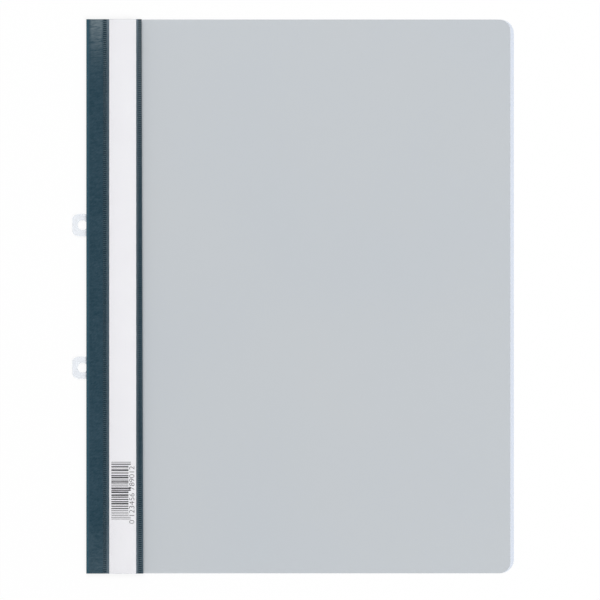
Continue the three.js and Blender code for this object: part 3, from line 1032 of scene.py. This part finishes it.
def bar_tree(material):
    """Bars and gaps of chance widths that fill the field from its lower end to its upper one."""
    tree, given = new_geometry_tree(
        "printed bars",
        {
            "Count": ("NodeSocketInt", 30),
            "Field Start": ("NodeSocketVector", field_start),
            "Field Length": ("NodeSocketFloat", BAR_FIELD_HIGH.y - BAR_FIELD_LOW.y),
            "Bar Width": ("NodeSocketFloat", BAR_FIELD_HIGH.x - BAR_FIELD_LOW.x),
            "Guard Reach": ("NodeSocketFloat", 1.3 * MM),
            "Ink Height": ("NodeSocketFloat", INK_HEIGHT),
            "Seed": ("NodeSocketInt", 11),
        },
    )
    points = line_of_points(tree, given["Count"], Offset=(0, 0, 0))

    def units(most, shift):
        """A whole number of units for each bar, from 1 to the most."""
        return chance(tree, "INT", 1, most, maths(tree, "ADD", given["Seed"], shift))

    bar = units(3, 0)
    gap = units(2, 7)
    running = add_node(
        tree, "GeometryNodeAccumulateField", {"data_type": "FLOAT"}, Value=maths(tree, "ADD", bar, gap)
    )
    unit = maths(tree, "DIVIDE", given["Field Length"], running.outputs["Total"])
    middle = maths(tree, "ADD", running.outputs["Trailing"], maths(tree, "DIVIDE", bar, 2.0))

    index = add_node(tree, "GeometryNodeInputIndex").outputs["Index"]
    half_count = maths(tree, "MULTIPLY", maths(tree, "SUBTRACT", given["Count"], 1.0), 0.5)
    from_middle = maths(tree, "ABSOLUTE", maths(tree, "SUBTRACT", index, half_count))
    at_middle = maths(tree, "LESS_THAN", from_middle, 1.0)
    at_ends = maths(tree, "GREATER_THAN", from_middle, maths(tree, "SUBTRACT", half_count, 1.5))
    reach = maths(tree, "MULTIPLY", maths(tree, "ADD", at_middle, at_ends), given["Guard Reach"])

    shift = add_node(
        tree, "ShaderNodeCombineXYZ",
        X=maths(tree, "MULTIPLY", reach, 0.5), Y=maths(tree, "MULTIPLY", middle, unit),
    )
    place = add_node(tree, "ShaderNodeVectorMath", {"operation": "ADD"})
    feed(tree, place.inputs[0], shift.outputs["Vector"])
    feed(tree, place.inputs[1], given["Field Start"])
    moved = add_node(
        tree, "GeometryNodeSetPosition", Geometry=points, Position=place.outputs["Vector"]
    )
    size = add_node(
        tree, "ShaderNodeCombineXYZ",
        X=maths(tree, "ADD", given["Bar Width"], reach), Y=maths(tree, "MULTIPLY", bar, unit),
        Z=given["Ink Height"],
    )
    block = add_node(tree, "GeometryNodeMeshCube", Size=(1, 1, 1)).outputs["Mesh"]
    end_tree(tree, moved.outputs["Geometry"], block, size.outputs["Vector"], material)
    return tree

# %% [markdown]
# ## Bars and digits in place
#
# The field of bars lies near the lower end of the label, with the bars across the spine. Plain
# counting digits run up beside it. The digits start as text, which has real outlines, and become a
# thin mesh that is turned a quarter round.

# %% Printed bars and plain digits
finished(grow("printed_bars", bar_tree(ink), {}, ink), "front", "label_card")

DIGIT_HEIGHT = 4.2 * MM
DIGIT_LENGTH = 32.4 * MM
DIGIT_THINNING = 0.05 * MM
DIGIT_X = SPINE_X + 27.0 * MM
DIGIT_START_Y = BAR_FIELD_LOW.y - 2.6 * MM


def filled_mesh(curve):
    """The faces that a text or a flat curve fills."""
    drawn = bpy.data.objects.new(curve.name, curve)
    bpy.context.scene.collection.objects.link(drawn)
    mesh = shown_mesh(drawn)
    bpy.data.objects.remove(drawn)
    return mesh


digit_curve = bpy.data.curves.new("digits", "FONT")
digit_curve.body = "0 123456 789012"
digit_curve.size = DIGIT_HEIGHT
digit_curve.extrude = INK_HEIGHT / 2
digit_curve.offset = -DIGIT_THINNING
digits = add_object("printed_digits", filled_mesh(digit_curve), ink)
stretch = DIGIT_LENGTH / max(vertex.co.x for vertex in digits.data.vertices)
for vertex in digits.data.vertices:
    x, y, z = vertex.co
    vertex.co = (DIGIT_X - y, DIGIT_START_Y + x * stretch, ink_middle + z)
finished(digits, "front", "label_card")

# %% [markdown]
# ## Filing strip with its eyelets
#
# The milky strip is punched from film: a long body with two round-cornered tabs, each with a hole.
# A filled curve is the natural way to draw such a blank, because inner curves become holes by
# themselves. Its bevel eases the cut edges.

# %% Filing strip
EYELET_REACH = 7.9 * MM
EYELET_HOLE_RADIUS = 2.75 * MM
EYELET_HOLE_REACH = 2.2 * MM
EYELET_CORNER = (4.4 * MM, 2.7 * MM)
STRIP_CORNER = 4.0 * MM
STRIP_EDGE_X = SPINE_X + DARK_FILM + SLOT_GAP
EASE = 0.05 * MM


def arc_points(centre, radii, from_degrees, to_degrees, steps):
    """Points on an arc, which is part of an ellipse where its two radii differ."""
    angles = np.radians(np.linspace(from_degrees, to_degrees, steps + 1))
    return [(centre[0] + radii[0] * math.cos(a), centre[1] + radii[1] * math.sin(a)) for a in angles]


def tab_outline(offset):
    """One eyelet tab, from its upper to its lower root."""
    top = offset + EYELET_HEIGHT / 2
    bottom = offset - EYELET_HEIGHT / 2
    centre_x = SPINE_X - EYELET_REACH + EYELET_CORNER[0]
    upper = arc_points((centre_x, top - EYELET_CORNER[1]), EYELET_CORNER, 90, 180, 14)
    lower = arc_points((centre_x, bottom + EYELET_CORNER[1]), EYELET_CORNER, 180, 270, 14)
    return [(STRIP_EDGE_X, top), *upper, *lower, (STRIP_EDGE_X, bottom)]


def strip_outline():
    """The strip's outer edge, anticlockwise from its lower left corner."""
    low_y, high_y = strip_low.y, strip_high.y
    round_corner = (STRIP_CORNER, STRIP_CORNER)
    left, right = STRIP_EDGE_X + STRIP_CORNER, strip_high.x - STRIP_CORNER
    return [
        *arc_points((left, low_y + STRIP_CORNER), round_corner, 180, 270, 12),
        *arc_points((right, low_y + STRIP_CORNER), round_corner, 270, 360, 12),
        *arc_points((right, high_y - STRIP_CORNER), round_corner, 0, 90, 12),
        *arc_points((left, high_y - STRIP_CORNER), round_corner, 90, 180, 12),
        *tab_outline(HOLE_OFFSETS[1]),
        *tab_outline(HOLE_OFFSETS[0]),
    ]


def eyelet_circle(offset):
    """The round hole in one eyelet tab."""
    centre = (SPINE_X - EYELET_HOLE_REACH, offset)
    radii = (EYELET_HOLE_RADIUS, EYELET_HOLE_RADIUS)
    return arc_points(centre, radii, 0, 360, 64)[:-1]


def tongue_slot(offset):
    """The slot for one tongue, as long and wide as the one in the dark film."""
    half_x, half_y = tongue_slot_size[0] / 2, tongue_slot_size[1] / 2
    corners = ((-half_x, -half_y), (half_x, -half_y), (half_x, half_y), (-half_x, half_y))
    return [(FASTENER_X + x, offset + y) for x, y in corners]


def punched_sheet(name, outlines, bottom, thickness, material):
    """A flat sheet from closed outlines: the first is the edge and the others are holes."""
    curve = bpy.data.curves.new(name, "CURVE")
    curve.dimensions = "2D"
    curve.fill_mode = "BOTH"
    curve.extrude = thickness / 2 - EASE
    curve.bevel_depth = EASE
    curve.bevel_resolution = 1
    curve.offset = -EASE
    for outline in outlines:
        spline = curve.splines.new("POLY")
        spline.points.add(len(outline) - 1)
        for target, (x, y) in zip(spline.points, outline):
            target.co = (x, y, 0, 1)
        spline.use_cyclic_u = True
    mesh = filled_mesh(curve)
    mesh.transform(Matrix.Translation((0, 0, bottom + thickness / 2)))
    return smooth_by_angle(add_object(name, mesh, material), 40)


outlines = [strip_outline()]
for offset in HOLE_OFFSETS:
    outlines += [eyelet_circle(offset), tongue_slot(offset)]
eyelet_strip = punched_sheet("eyelet_strip", outlines, strip_low.z, STRIP_FILM, milky_film)
finished(eyelet_strip, "back", "milky_film", "filing_strip")

# %% [markdown]
# ## Tongues and cover bar
#
# The metal pieces are already exact in the frame, down to the bends and the lips. What the camera
# wants is an eased edge that catches the light. So each one is copied, its loose triangles are
# merged and cleaned up, and a small bevel is put on its edges.

# %% Eased copies of the metal pieces
def eased_copy(name, node, material, width):
    """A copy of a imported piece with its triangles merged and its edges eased."""
    shape = bmesh.new()
    shape.from_mesh(frame["nodes"][node].data)
    bmesh.ops.remove_doubles(shape, verts=shape.verts, dist=0.002 * MM)
    bmesh.ops.dissolve_limit(
        shape, angle_limit=math.radians(1), verts=shape.verts, edges=shape.edges
    )
    mesh = bpy.data.meshes.new(name)
    shape.to_mesh(mesh)
    shape.free()
    return smooth_by_angle(ease_edges(add_object(name, mesh, material), width), 40)


tongues = eased_copy("tongues", "tongue_strip", tongue_metal, width=0.05 * MM)
finished(tongues, "back", "tongue_metal", "tongue_strip")
clamp_bar = eased_copy("clamp_bar", "cover_bar", bar_metal, width=0.08 * MM)
finished(clamp_bar, "back", "bar_metal", "cover_bar")

# %% [markdown]
# ## Floor
#
# The picture has a pure white ground. The floor is white, and camera rays see mostly its own glow,
# so that it stays white, while a share of real shadow keeps the folder on the ground. Rays that
# reach it through the films or by a mirror in the metal see the same white.

# %% Floor
FLOOR_HALF = 3.0
FLOOR_Z = -0.1 * MM
GLOW_SHARE = 0.85
floor_material, tree, shader = new_material("white floor")
feed_all(tree, shader, Base_Color=(0.98, 0.98, 0.98, 1), Roughness=0.9)
glow = add_node(tree, "ShaderNodeEmission", Color=(1, 1, 1, 1), Strength=1.0)
rays = tree.nodes.new("ShaderNodeLightPath").outputs
straight = maths(tree, "MAXIMUM", rays["Is Camera Ray"], rays["Is Transmission Ray"])
seen = maths(tree, "MAXIMUM", straight, rays["Is Glossy Ray"])
show_mix(tree, maths(tree, "MULTIPLY", seen, GLOW_SHARE), shader, glow)

floor_sides = np.array([-FLOOR_HALF, FLOOR_HALF])
floor_corners = np.stack([*np.meshgrid(floor_sides, floor_sides), np.full((2, 2), FLOOR_Z)], axis=-1)
floor = add_object("floor", grid_mesh("floor", floor_corners), floor_material)
print("floor:", 2 * FLOOR_HALF, "m wide")

# %% [markdown]
# ## Light
#
# An even dome lights the folder from all round. Two large lamps, one past the folder's upper edge and
# one past its lower right corner, wake up the embossed grain and put a soft edge beside the strip.
# They are just bright enough for the label and the films to show their own colours.

# %% Light
DOME_STRENGTH = 0.32
LAMP_SIZE = 1.2


def area_lamp(name, place, power):
    """A square lamp that is turned towards the folder."""
    data = bpy.data.lights.new(name, "AREA")
    data.shape = "SQUARE"
    data.size = LAMP_SIZE
    data.energy = power
    lamp = bpy.data.objects.new(name, data)
    lamp.location = place
    lamp.rotation_mode = "QUATERNION"
    lamp.rotation_quaternion = (-Vector(place)).to_track_quat("-Z", "Y")
    bpy.context.scene.collection.objects.link(lamp)


world = bpy.data.worlds.new("studio")
world.use_nodes = True
bpy.context.scene.world = world
sky = next(n for n in world.node_tree.nodes if n.type == "BACKGROUND")
feed_all(world.node_tree, sky, Color=(1, 1, 1, 1), Strength=DOME_STRENGTH)
area_lamp("upper lamp", (-0.3, 1.4, 2.6), power=37.2)
area_lamp("lower lamp", (1.0, -1.3, 2.5), power=36.6)
bpy.context.scene.view_settings.view_transform = "Standard"
print("lamps:", len(bpy.data.lights))
